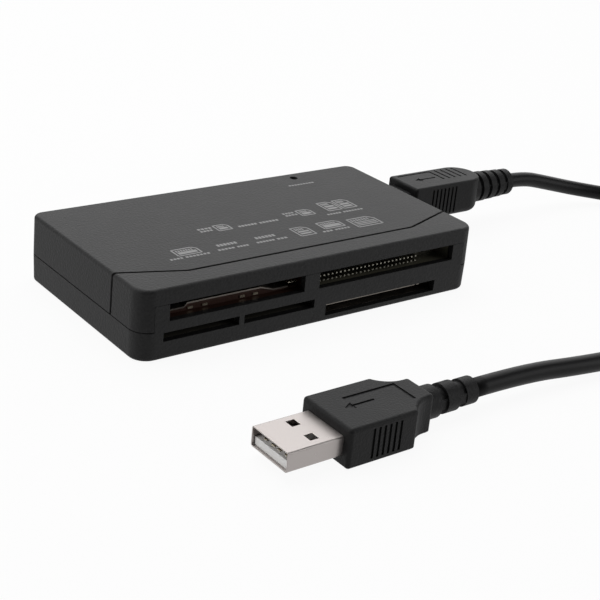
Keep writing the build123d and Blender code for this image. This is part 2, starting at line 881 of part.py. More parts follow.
with BuildPart() as cable_plug_insert:
    extrude(socket_section(cable_tip_x + plug_shell_t, insert_inset), amount=shell_total - plug_shell_t)
    slot_end_x = tongue_x0 + tongue_root + tongue_len + tongue_fit
    block(
        (cable_tip_x, slot_end_x),
        (socket_y - tongue_w / 2 - tongue_fit, socket_y + tongue_w / 2 + tongue_fit),
        (socket_z - tongue_h / 2 - tongue_fit, socket_z + tongue_h / 2 + tongue_fit),
        mode=Mode.SUBTRACT,
    )
cable_plug_insert.part.label = "cable_plug_insert"
export_step(cable_plug_insert.part, "parts/cable_plug_insert.step")

with BuildPart() as cable_plug_grip:
    grip_top_z = socket_z + grip_h / 2
    round_x = grip_end_x - grip_round_len
    near_y = socket_y - grip_w / 2
    far_y = socket_y + grip_w / 2
    with BuildSketch(Plane.XY.offset(socket_z - grip_h / 2)):
        with BuildLine():
            Polyline((round_x, near_y), (grip_x, near_y), (grip_x, far_y), (round_x, far_y))
            ThreePointArc((round_x, far_y), (grip_end_x, socket_y), (round_x, near_y))
        make_face()
    extrude(amount=grip_h)
    fillet(cable_plug_grip.edges().filter_by(Axis.Z).group_by(Axis.X)[0], grip_edge_r)
    fillet(cable_plug_grip.faces().sort_by(Axis.Z)[-1].edges(), grip_edge_r)
    fillet(cable_plug_grip.faces().sort_by(Axis.Z)[0].edges(), grip_bottom_r)
    with BuildSketch(Plane.YZ.offset(nose_x)):
        with Locations((socket_y, socket_z)):
            RectangleRounded(nose_w, nose_h, grip_edge_r)
    extrude(amount=nose_len)
    relief(
        relief_x,
        socket_y,
        socket_z,
        relief_len,
        relief_root_r,
        relief_tip_r,
        relief_core_r,
        relief_ring_count,
    )
    side_ribs(
        grip_x + rib_start,
        rib_count,
        rib_pitch,
        socket_y,
        grip_w,
        socket_z - grip_h / 2 + rib_margin,
        grip_top_z - rib_margin,
    )
    panel_x1 = grip_x + panel_start + panel_len
    panel_y1 = far_y - panel_edge
    groove_z = (grip_top_z - groove_depth, grip_top_z + groove_depth)
    block((grip_x + panel_start, panel_x1), (panel_y1 - groove_w, panel_y1), groove_z, mode=Mode.SUBTRACT)
    for i in range(bar_count + 1):
        bar_x = panel_x1 + i * bar_pitch
        block((bar_x - groove_w, bar_x), (panel_y1 - bar_len, panel_y1), groove_z, mode=Mode.SUBTRACT)
    arrow(grip_x + arrow_start, socket_y, grip_top_z)
    extrude(socket_section(nose_x, plug_inset), amount=plug_shell_in, mode=Mode.SUBTRACT)
cable_plug_grip.part.label = "cable_plug_grip"
export_step(cable_plug_grip.part, "parts/cable_plug_grip.step")

# Flat plug for the computer
with BuildPart() as usb_plug_shell:
    with BuildSketch(Plane.YZ.offset(plug_tip_x)):
        with Locations((plug_line_y, plug_line_z)):
            RectangleRounded(shell_w, shell_h, shell_corner_r)
            Rectangle(shell_w - 2 * shell_t, shell_h - 2 * shell_t, mode=Mode.SUBTRACT)
    extrude(amount=shell_len + shell_seat)
    window_x = plug_tip_x + window_set
    for window_mid_y in (plug_line_y - window_y, plug_line_y + window_y):
        block(
            (window_x - window_l / 2, window_x + window_l / 2),
            (window_mid_y - window_w / 2, window_mid_y + window_w / 2),
            (plug_line_z, plug_line_z + shell_h),
            mode=Mode.SUBTRACT,
        )
usb_plug_shell.part.label = "usb_plug_shell"
export_step(usb_plug_shell.part, "parts/usb_plug_shell.step")

blade_z0 = plug_line_z - shell_h / 2 + shell_t
blade_half_w = shell_w / 2 - shell_t - blade_clear

with BuildPart() as usb_plug_blade:
    block(
        (plug_tip_x + blade_set, body_x + shell_seat),
        (plug_line_y - blade_half_w, plug_line_y + blade_half_w),
        (blade_z0, blade_z0 + blade_t),
    )
usb_plug_blade.part.label = "usb_plug_blade"
export_step(usb_plug_blade.part, "parts/usb_plug_blade.step")

with BuildPart() as usb_plug_contacts:
    strip_x = (plug_tip_x + blade_set + strip_set, plug_tip_x + blade_set + strip_set + strip_len)
    for strip_y in (-strip_outer_y, -strip_inner_y, strip_inner_y, strip_outer_y):
        block(
            strip_x,
            (plug_line_y + strip_y - strip_w / 2, plug_line_y + strip_y + strip_w / 2),
            (blade_z0 + blade_t, blade_z0 + blade_t + strip_t),
        )
usb_plug_contacts.part.label = "usb_plug_contacts"
export_step(usb_plug_contacts.part, "parts/usb_plug_contacts.step")

with BuildPart() as usb_plug_grip:
    neck_arc_x = neck_end_x - neck_straight
    with BuildSketch(Plane.XY):
        with BuildLine():
            for side in (-1, 1):
                body_side_y = plug_line_y + side * body_w / 2
                neck_side_y = plug_line_y + side * neck_w / 2
                Polyline((body_x, plug_line_y), (body_x, body_side_y), (neck_x, body_side_y))
                TangentArc((neck_arc_x, neck_side_y), (neck_x, body_side_y), tangent=(-1, 0))
                Polyline((neck_arc_x, neck_side_y), (neck_end_x, neck_side_y), (neck_end_x, plug_line_y))
        make_face()
    extrude(amount=body_h)
    upright = usb_plug_grip.edges().filter_by(Axis.Z).sort_by(Axis.X)
    fillet(upright[:4] + upright[-2:], body_edge_r)
    fillet(usb_plug_grip.faces().sort_by(Axis.Z)[-1].edges(), body_edge_r)
    chamfer(usb_plug_grip.faces().sort_by(Axis.Z)[0].edges(), body_edge_r / 2)
    relief(
        neck_end_x,
        plug_line_y,
        plug_line_z,
        flat_relief_len,
        flat_relief_root_r,
        flat_relief_tip_r,
        flat_relief_core_r,
        flat_relief_ring_count,
    )
    side_ribs(
        body_x + body_rib_start,
        body_rib_count,
        body_rib_pitch,
        plug_line_y,
        body_w,
        rib_margin,
        body_h - rib_margin,
    )
    body_groove_z = (body_h - groove_depth, body_h + groove_depth)
    body_panel_x1 = body_x + body_panel_start + body_panel_len
    body_panel_y1 = plug_line_y + body_panel_w / 2
    block(
        (body_x + body_panel_start, body_panel_x1),
        (body_panel_y1 - body_groove_w, body_panel_y1),
        body_groove_z,
        mode=Mode.SUBTRACT,
    )
    block(
        (body_panel_x1 - body_groove_w, body_panel_x1),
        (plug_line_y - body_panel_w / 2, body_panel_y1),
        body_groove_z,
        mode=Mode.SUBTRACT,
    )
    arrow(body_x + arrow_start, plug_line_y, body_h)
    with BuildSketch(Plane.YZ.offset(body_x)):
        with Locations((plug_line_y, plug_line_z)):
            RectangleRounded(shell_w, shell_h, shell_corner_r)
    extrude(amount=shell_seat, mode=Mode.SUBTRACT)
usb_plug_grip.part.label = "usb_plug_grip"
export_step(usb_plug_grip.part, "parts/usb_plug_grip.step")

# Cord: two free stretches and the coil between them
reader_end_route = [
    (relief_end_x, socket_y, socket_z),
    (relief_end_x + cord_straight, socket_y, socket_z),
    (116.5, 10.9, 8.1),
    (127.5, 9.2, 5.3),
    (138, 4.7, 3.5),
    (146.3, -3, 3),
    (151.8, -13.5, 3.6),
    (154.5, -26, 4.9),
    (155, -38.5, 6.3),
]
plug_end_route = [
    (125, -77.6, 2.6),
    (103, -78.9, 2.4),
    (80, -79.2, 2.3),
    (58, -78.6, 2.3),
    (38, -77.2, 3.2),
    (20, plug_line_y, plug_line_z),
    (flat_relief_end_x, plug_line_y, plug_line_z),
]


def bend_radii(route):
    """Return the largest arc that each corner's two runs allow."""
    points = [Vector(*point) for point in route]
    radii = []
    for before, corner, after in zip(points, points[1:], points[2:]):
        run_in = corner - before
        run_out = after - corner
        half_turn = radians(run_in.get_angle(run_out)) / 2
        radii.append(arc_share * min(run_in.length, run_out.length) / tan(half_turn))
    return radii


def print_tube(radii, path, tube):
    """Print a tube's bend radii, its length and its volume against section times length."""
    length = path.wire().length
    share = tube.volume / (pi * cord_r**2 * length)
    print("bend radii", [round(radius, 1) for radius in radii])
    print("length", round(length, 1), "volume share", round(share, 4))


with BuildPart() as cord_reader_end:
    with BuildLine() as reader_path:
        reader_radii = bend_radii(reader_end_route)
        FilletPolyline(*reader_end_route, radius=reader_radii)
    with BuildSketch(Plane(origin=reader_path.line @ 0, z_dir=reader_path.line % 0)):
        Circle(cord_r)
    sweep()
cord_reader_end.part.label = "cord_reader_end"
export_step(cord_reader_end.part, "parts/cord_reader_end.step")
print_tube(reader_radii, reader_path, cord_reader_end.part)

with BuildPart() as cord_plug_end:
    with BuildLine() as plug_path:
        plug_radii = bend_radii(plug_end_route)
        FilletPolyline(*plug_end_route, radius=plug_radii)
    with BuildSketch(Plane(origin=plug_path.line @ 0, z_dir=plug_path.line % 0)):
        Circle(cord_r)
    sweep()
cord_plug_end.part.label = "cord_plug_end"
export_step(cord_plug_end.part, "parts/cord_plug_end.step")
print_tube(plug_radii, plug_path, cord_plug_end.part)

tie_plane = Plane(
    origin=(
        coil_x + coil_r * cos(radians(tie_angle)),
        coil_y + coil_r * sin(radians(tie_angle)),
        coil_section_h / 2,
    ),
    x_dir=(cos(radians(tie_angle)), sin(radians(tie_angle)), 0),
    z_dir=(sin(radians(tie_angle)), -cos(radians(tie_angle)), 0),
)


def coil_section(plane, outside):
    """Return the coil's eight-sided section on a plane, grown by outside."""
    with BuildSketch(plane) as section:
        Rectangle(coil_section_w + 2 * outside, coil_section_h + 2 * outside)
        chamfer(section.vertices(), coil_bevel)
    return section.sketch


coil_plane = Plane(
    origin=(coil_x + coil_r, coil_y, coil_section_h / 2), x_dir=(1, 0, 0), z_dir=(0, -1, 0)
)
coil_band = coil_section(tie_plane, 0) - coil_section(tie_plane, -tie_t)
coil_groove = coil_section(tie_plane, tie_t) - coil_section(tie_plane, -tie_t)

with BuildPart() as cord_coil:
    revolve(coil_section(coil_plane, 0), axis=Axis((coil_x, coil_y, 0), (0, 0, 1)))
    extrude(coil_groove, amount=tie_w / 2, both=True, mode=Mode.SUBTRACT)
cord_coil.part.label = "cord_coil"
export_step(cord_coil.part, "parts/cord_coil.step")

with BuildPart() as cord_tie:
    extrude(coil_band, amount=tie_w / 2, both=True)
cord_tie.part.label = "cord_tie"
export_step(cord_tie.part, "parts/cord_tie.step")
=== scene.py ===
"""Looks of a memory card reader with a detachable cable: finishes, cord, printed marks, studio.

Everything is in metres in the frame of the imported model: origin under the middle of the reader,
+X towards the cable socket, +Y to the back, +Z up, with the card slots facing -Y.
"""

import logging
from dataclasses import dataclass, field
from enum import Enum
from math import cos, pi, radians, sin

import bmesh
import bpy
import numpy as np
from mathutils import Matrix, Vector


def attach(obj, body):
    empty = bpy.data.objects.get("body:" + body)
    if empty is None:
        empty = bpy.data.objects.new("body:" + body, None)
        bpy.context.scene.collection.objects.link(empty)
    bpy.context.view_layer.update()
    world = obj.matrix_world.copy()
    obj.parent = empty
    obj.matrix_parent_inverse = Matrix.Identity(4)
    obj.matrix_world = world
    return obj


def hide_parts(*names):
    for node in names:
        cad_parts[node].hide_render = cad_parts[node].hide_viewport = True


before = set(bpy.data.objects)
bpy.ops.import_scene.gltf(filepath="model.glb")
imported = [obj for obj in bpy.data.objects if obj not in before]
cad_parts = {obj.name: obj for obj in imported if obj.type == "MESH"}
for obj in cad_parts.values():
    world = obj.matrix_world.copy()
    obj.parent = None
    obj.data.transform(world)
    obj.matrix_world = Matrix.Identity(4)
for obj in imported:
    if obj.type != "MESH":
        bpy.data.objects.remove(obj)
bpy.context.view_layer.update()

MM = 0.001
READER = "reader"
CABLE = "cable"
MERGE = 0.002 * MM
FLAT = radians(0.5)
SHARP = radians(35)
ROLL_STEPS = 2
NOISE_MIDDLE = 0.5
BOX_CORNERS = 8
# Each side of a flat box by its corners: 0 to 3 go round below, and 4 to 7 lie above them.
BOX_SIDES = np.array(
    [(4, 5, 6, 7), (3, 2, 1, 0), (0, 1, 5, 4), (1, 2, 6, 5), (2, 3, 7, 6), (3, 0, 4, 7)]
)
log = logging.getLogger("card_reader")

Colour = tuple[float, float, float]
Point = tuple[float, float, float]
Stroke = tuple[float, float, float, float, float]


class Surface(Enum):
    """How a surface was made, which decides the texture group that it gets."""

    MOULDED = "moulded grain"
    DRAWN = "drawn streaks"


class Tree:
    """A node tree under construction."""

    def __init__(self, tree: bpy.types.NodeTree) -> None:
        """Keep the tree that nodes are added to."""
        self.tree = tree

    def node(self, kind: str, inputs: dict | None = None, **settings: object) -> bpy.types.Node:
        """Add one node.

        Args:
            kind: Blender's name of the node type.
            inputs: For each input, by name or index, a value or a socket to link from.
            settings: Properties of the node itself.

        Returns:
            The new node.
        """
        made = self.tree.nodes.new(kind)
        for name, value in settings.items():
            setattr(made, name, value)
        for name, value in (inputs or {}).items():
            if isinstance(value, bpy.types.NodeSocket):
                self.tree.links.new(value, made.inputs[name])
            else:
                made.inputs[name].default_value = value
        return made

    def math(self, operation: str, *values: object) -> bpy.types.NodeSocket:
        """Add a Math node over values or sockets and return its result."""
        return self.node("ShaderNodeMath", dict(enumerate(values)), operation=operation).outputs[0]

    def scaled(self, colour: bpy.types.NodeSocket, factor: bpy.types.NodeSocket) -> bpy.types.NodeSocket:
        """Multiply a colour by a number that changes over the surface and return the product."""
        made = self.node("ShaderNodeVectorMath", {0: colour, "Scale": factor}, operation="SCALE")
        return made.outputs["Vector"]


class TextureGroup:
    """A shared effect, built once as a shader node group with named sockets."""

    name = ""
    floats: tuple[str, ...] = ()

    @classmethod
    def tree(cls) -> bpy.types.NodeTree:
        """Give the group's node tree, building it at the first call.

        Returns:
            The tree, with a colour, the numbers in floats, and three outputs as named sockets.
        """
        known = bpy.data.node_groups.get(cls.name)
        if known is not None:
            return known
        group = bpy.data.node_groups.new(cls.name, "ShaderNodeTree")
        group.interface.new_socket("Colour", in_out="INPUT", socket_type="NodeSocketColor")
        for socket in cls.floats:
            group.interface.new_socket(socket, in_out="INPUT", socket_type="NodeSocketFloat")
        group.interface.new_socket("Colour", in_out="OUTPUT", socket_type="NodeSocketColor")
        group.interface.new_socket("Roughness", in_out="OUTPUT", socket_type="NodeSocketFloat")
        group.interface.new_socket("Height", in_out="OUTPUT", socket_type="NodeSocketFloat")
        build = Tree(group)
        source = build.node("NodeGroupInput").outputs
        build.node("NodeGroupOutput", cls.outputs(build, source))
        return group

    @classmethod
    def outputs(cls, build: Tree, source: bpy.types.NodeOutputs) -> dict:
        """Add the effect's nodes and return the sockets for Colour, Roughness and Height."""
        raise NotImplementedError


class MouldedGrain(TextureGroup):
    """Spark-eroded grain of a moulded part, over a faint mottle from the flow of the plastic.

    Height is fine noise. Colour is the given one, moved up and down by the same noise and by a
    second one that is many grains wide. The second one moves roughness too.
    """

    name = Surface.MOULDED.value
    floats = ("Roughness", "Grain", "Mottle")
    fine_detail = 2.0
    broad_detail = 3.0
    mottle_grains = 14.0
    mottle_share = 0.35
    roughness_swing = 0.06

    @classmethod
    def outputs(cls, build: Tree, source: bpy.types.NodeOutputs) -> dict:
        """Add the grain's nodes.

        Args:
            build: The group's tree.
            source: The sockets of the group's inputs.

        Returns:
            The sockets for Colour, Roughness and Height.
        """
        place = build.node("ShaderNodeTexCoord").outputs["Object"]
        density = build.math("DIVIDE", 1.0, source["Grain"])
        sparse = build.math("DIVIDE", density, cls.mottle_grains)
        fine = build.node(
            "ShaderNodeTexNoise", {"Vector": place, "Scale": density, "Detail": cls.fine_detail}
        )
        broad = build.node(
            "ShaderNodeTexNoise", {"Vector": place, "Scale": sparse, "Detail": cls.broad_detail}
        )
        swing = build.math("SUBTRACT", fine.outputs["Fac"], NOISE_MIDDLE)
        drift = build.math("SUBTRACT", broad.outputs["Fac"], NOISE_MIDDLE)
        both = build.math("MULTIPLY_ADD", drift, cls.mottle_share, swing)
        shade = build.math("MULTIPLY_ADD", both, source["Mottle"], 1.0)
        rough = build.math("MULTIPLY_ADD", drift, cls.roughness_swing, source["Roughness"])
        return {
            "Colour": build.scaled(source["Colour"], shade),
            "Roughness": rough,
            "Height": fine.outputs["Fac"],
        }


class DrawnStreaks(TextureGroup):
    """Fine lines that rolling and drawing leave in sheet metal, along X.

    Height is noise stretched along X. The same lines, and broad clouds of tarnish, move colour and
    roughness up and down.
    """

    name = Surface.DRAWN.value
    floats = ("Roughness", "Grain", "Mottle")
    line_detail = 3.0
    cloud_detail = 4.0
    stretch = 0.04
    cloud_grains = 30.0
    roughness_swing = 0.25

    @classmethod
    def outputs(cls, build: Tree, source: bpy.types.NodeOutputs) -> dict:
        """Add the streaks' nodes.

        Args:
            build: The group's tree.
            source: The sockets of the group's inputs.

        Returns:
            The sockets for Colour, Roughness and Height.
        """
        place = build.node("ShaderNodeTexCoord").outputs["Object"]
        along = build.node("ShaderNodeMapping", {"Vector": place, "Scale": (cls.stretch, 1.0, 1.0)})
        density = build.math("DIVIDE", 1.0, source["Grain"])
        sparse = build.math("DIVIDE", density, cls.cloud_grains)
        lines = build.node(
            "ShaderNodeTexNoise",
            {"Vector": along.outputs[0], "Scale": density, "Detail": cls.line_detail},
        )
        clouds = build.node(
            "ShaderNodeTexNoise", {"Vector": place, "Scale": sparse, "Detail": cls.cloud_detail}
        )
        swing = build.math("SUBTRACT", lines.outputs["Fac"], NOISE_MIDDLE)
        drift = build.math("SUBTRACT", clouds.outputs["Fac"], NOISE_MIDDLE)
        both = build.math("ADD", swing, drift)
        shade = build.math("MULTIPLY_ADD", both, source["Mottle"], 1.0)
        rough = build.math("MULTIPLY_ADD", both, cls.roughness_swing, source["Roughness"])
        return {
            "Colour": build.scaled(source["Colour"], shade),
            "Roughness": rough,
            "Height": lines.outputs["Fac"],
        }


TEXTURES = {Surface.MOULDED: MouldedGrain, Surface.DRAWN: DrawnStreaks}


@dataclass(frozen=True)
class Finish:
    """A finish: its colour, its gloss and the texture of its surface.

    Grain is the size of one grain of the texture and depth is its height, both in metres.
    """

    name: str
    colour: Colour
    roughness: float
    surface: Surface = Surface.MOULDED
    metallic: float = 0.0
    specular: float = 0.5
    grain: float = 0.3 * MM
    mottle: float = 0.25
    depth: float = 0.02 * MM
    bump: float = 0.5

    def material(self) -> bpy.types.Material:
        """Give this finish as a material, made at the first call.

        Returns:
            The material: the texture group feeds colour, roughness and bump into one shader.
        """
        known = bpy.data.materials.get(self.name)
        if known is not None:
            return known
        made = bpy.data.materials.new(self.name)
        made.use_nodes = True
        build = Tree(made.node_tree)
        texture = build.node("ShaderNodeGroup", node_tree=TEXTURES[self.surface].tree())
        texture.inputs["Colour"].default_value = (*self.colour, 1.0)
        texture.inputs["Roughness"].default_value = self.roughness
        texture.inputs["Grain"].default_value = self.grain
        texture.inputs["Mottle"].default_value = self.mottle
        bump = build.node(
            "ShaderNodeBump",
            {"Height": texture.outputs["Height"], "Strength": self.bump, "Distance": self.depth},
        )
        shader = made.node_tree.nodes["Principled BSDF"]
        shader.inputs["Metallic"].default_value = self.metallic
        shader.inputs["Specular IOR Level"].default_value = self.specular
        links = made.node_tree.links
        links.new(texture.outputs["Colour"], shader.inputs["Base Color"])
        links.new(texture.outputs["Roughness"], shader.inputs["Roughness"])
        links.new(bump.outputs["Normal"], shader.inputs["Normal"])
        return made

    def dress(self, piece: bpy.types.Object) -> None:
        """Give a piece this finish as its only material."""
        piece.data.materials.clear()
        piece.data.materials.append(self.material())


HOUSING = Finish(
    "housing plastic",
    (0.0135, 0.0135, 0.0138),
    0.58,
    specular=0.22,
    grain=0.6 * MM,
    mottle=0.9,
    depth=0.11 * MM,
    bump=1.0,
)
CONNECTOR = Finish("connector plastic", (0.045, 0.043, 0.035), 0.5, specular=0.3)
HEADER = Finish("header plastic", (0.105, 0.100, 0.074), 0.5, specular=0.3)
BROWN = Finish("brown insulator", (0.036, 0.012, 0.006), 0.55, specular=0.3)
PALE = Finish("pale insulator", (0.92, 0.91, 0.89), 0.45, mottle=0.08)
CONTACT = Finish("contact metal", (0.72, 0.66, 0.52), 0.30, Surface.DRAWN, metallic=1.0, grain=0.1 * MM)
PIN = Finish(
    "pin plating",
    (0.27, 0.26, 0.22),
    0.38,
    Surface.DRAWN,
    metallic=1.0,
    grain=0.1 * MM,
    mottle=0.9,
)
TINNED = Finish("tinned sheet", (0.46, 0.44, 0.40), 0.42, Surface.DRAWN, metallic=1.0, grain=0.15 * MM)
DULLED = Finish(
    "dulled sheet",
    (0.20, 0.18, 0.16),
    0.45,
    Surface.DRAWN,
    metallic=1.0,
    grain=0.15 * MM,
    mottle=0.5,
)
PLUG_STEEL = Finish(
    "plug steel",
    (0.40, 0.368, 0.355),
    0.36,
    Surface.DRAWN,
    metallic=0.85,
    grain=0.12 * MM,
    mottle=0.06,
    bump=0.03,
)
CHIP = Finish("chip plastic", (0.02, 0.02, 0.021), 0.6)
LAMINATE = Finish("board laminate", (0.09, 0.045, 0.02), 0.5)
SMOKED = Finish("smoked plastic", (0.004, 0.004, 0.004), 0.22, grain=1.0 * MM, bump=0.05)
VINYL = Finish(
    "cable vinyl",
    (0.0085, 0.0085, 0.0088),
    0.55,
    specular=0.17,
    grain=0.5 * MM,
    depth=0.1 * MM,
    bump=1.0,
)
JACKET = Finish("cord vinyl", (0.0055, 0.0055, 0.0058), 0.42, specular=0.13, grain=0.5 * MM, bump=0.2)
TIE = Finish("tie plastic", (0.012, 0.012, 0.012), 0.4)
INK = Finish("print ink", (0.20, 0.20, 0.20), 0.6, specular=0.22, mottle=0.5, grain=0.2 * MM)


def add_piece(name: str, points: np.ndarray, faces: list, body: str) -> bpy.types.Object:
    """Make a piece from points and faces and let it ride on a body.

    Args:
        name: The piece's name.
        points: Array of N points in metres, in the frame.
        faces: Index lists, one for each face.
        body: The CAD body that carries the piece.

    Returns:
        The new object, at the origin with its place in its mesh.
    """
    mesh = bpy.data.meshes.new(name)
    mesh.from_pydata(points.tolist(), [], faces)
    mesh.validate()
    return link_piece(name, mesh, body)


def link_piece(name: str, mesh: bpy.types.Mesh, body: str) -> bpy.types.Object:
    """Put a mesh into the scene as a piece that rides on a body.

    Args:
        name: The piece's name.
        mesh: Its mesh, in metres in the frame.
        body: The CAD body that carries the piece.

    Returns:
        The new object.
    """
    piece = bpy.data.objects.new(name, mesh)
    bpy.context.scene.collection.objects.link(piece)
    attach(piece, body)
    log.info("made %s with %d faces", name, len(mesh.polygons))
    return piece


def loop_quads(rows: int, columns: int, ring: bool = False) -> np.ndarray:
    """Return the quads of a grid of points whose rows each close on themselves.

    Args:
        rows: How many rows of points there are.
        columns: How many points each row has.
        ring: Whether the last row is joined to the first one too.

    Returns:
        Array of point indices, four for each quad.
    """
    here = np.arange(rows * columns).reshape(rows, columns)
    after = np.roll(here, -1, axis=0)
    last = rows if ring else rows - 1
    corners = [here, np.roll(here, -1, axis=1), np.roll(after, -1, axis=1), after]
    return np.stack(corners, axis=-1)[:last].reshape(-1, 4)


def smooth(mesh: bpy.types.Mesh) -> None:
    """Shade every face of a mesh smoothly."""
    mesh.polygons.foreach_set("use_smooth", np.ones(len(mesh.polygons), dtype=bool))


def soften(node: str, body: str, radius: float) -> bpy.types.Object:
    """Make a copy of a CAD node with its sharp edges rolled over, to stand for the node.

    The copy's doubled points are merged and its flat faces are joined. Edges sharper than the
    limit get two narrow faces, and each point's normal leans towards its largest faces, so flats
    stay flat and rounds stay round.

    Args:
        node: The CAD node's name.
        body: The CAD body that it belongs to.
        radius: How far from the edge the rolled part starts.

    Returns:
        The copy.
    """
    skin = bmesh.new()
    skin.from_mesh(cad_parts[node].data)
    bmesh.ops.remove_doubles(skin, verts=skin.verts, dist=MERGE)
    bmesh.ops.dissolve_limit(skin, angle_limit=FLAT, verts=skin.verts, edges=skin.edges)
    mesh = bpy.data.meshes.new(f"{node}_skin")
    skin.to_mesh(mesh)
    skin.free()
    smooth(mesh)
    piece = link_piece(f"{node}_skin", mesh, body)
    rolled = piece.modifiers.new("rolled edges", "BEVEL")
    rolled.width = radius
    rolled.segments = ROLL_STEPS
    rolled.limit_method = "ANGLE"
    rolled.angle_limit = SHARP
    leaning = piece.modifiers.new("leaning normals", "WEIGHTED_NORMAL")
    leaning.keep_sharp = True
    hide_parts(node)
    return piece


@dataclass
class SubAssembly:
    """CAD nodes that belong together, with the finish of each.

    Rolled gives, in millimetres, how far the edges of a node are rolled over. Such a node is
    replaced by a softened copy.
    """

    body: str = READER
    finishes: dict[str, Finish] = field(default_factory=dict)
    rolled: dict[str, float] = field(default_factory=dict)

    def build(self) -> None:
        """Make the pieces that the CAD nodes don't give; none unless a sub-assembly says so."""

    def dress(self) -> None:
        """Give every node of this sub-assembly its finish, on a softened copy where it has one."""
        for node, finish in self.finishes.items():
            finish.dress(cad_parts[node])
            if node in self.rolled:
                copy = soften(node, self.body, self.rolled[node] * MM)
                finish.dress(copy)
            log.info("dressed %s in %s", node, finish.name)


@dataclass
class Housing(SubAssembly):
    """Bottom shell, top cover, front bezel and the status light in the cover."""

    finishes: dict[str, Finish] = field(
        default_factory=lambda: {
            "bottom_shell": HOUSING,
            "top_cover": HOUSING,
            "front_bezel": HOUSING,
            "status_light_guide": SMOKED,
        }
    )
    rolled: dict[str, float] = field(
        default_factory=lambda: {"bottom_shell": 0.16, "top_cover": 0.12, "front_bezel": 0.12}
    )


@dataclass(frozen=True)
class Word:
    """A row of dashes in place of a word: its left end, middle line, length and height."""

    x: float
    y: float
    length: float
    height: float


@dataclass(frozen=True)
class CardSign:
    """A printed outline of a card with a cut corner, a row of contacts and some bars below them."""

    x: float
    y: float
    wide: float
    deep: float
    contacts: int
    bars: int = 1


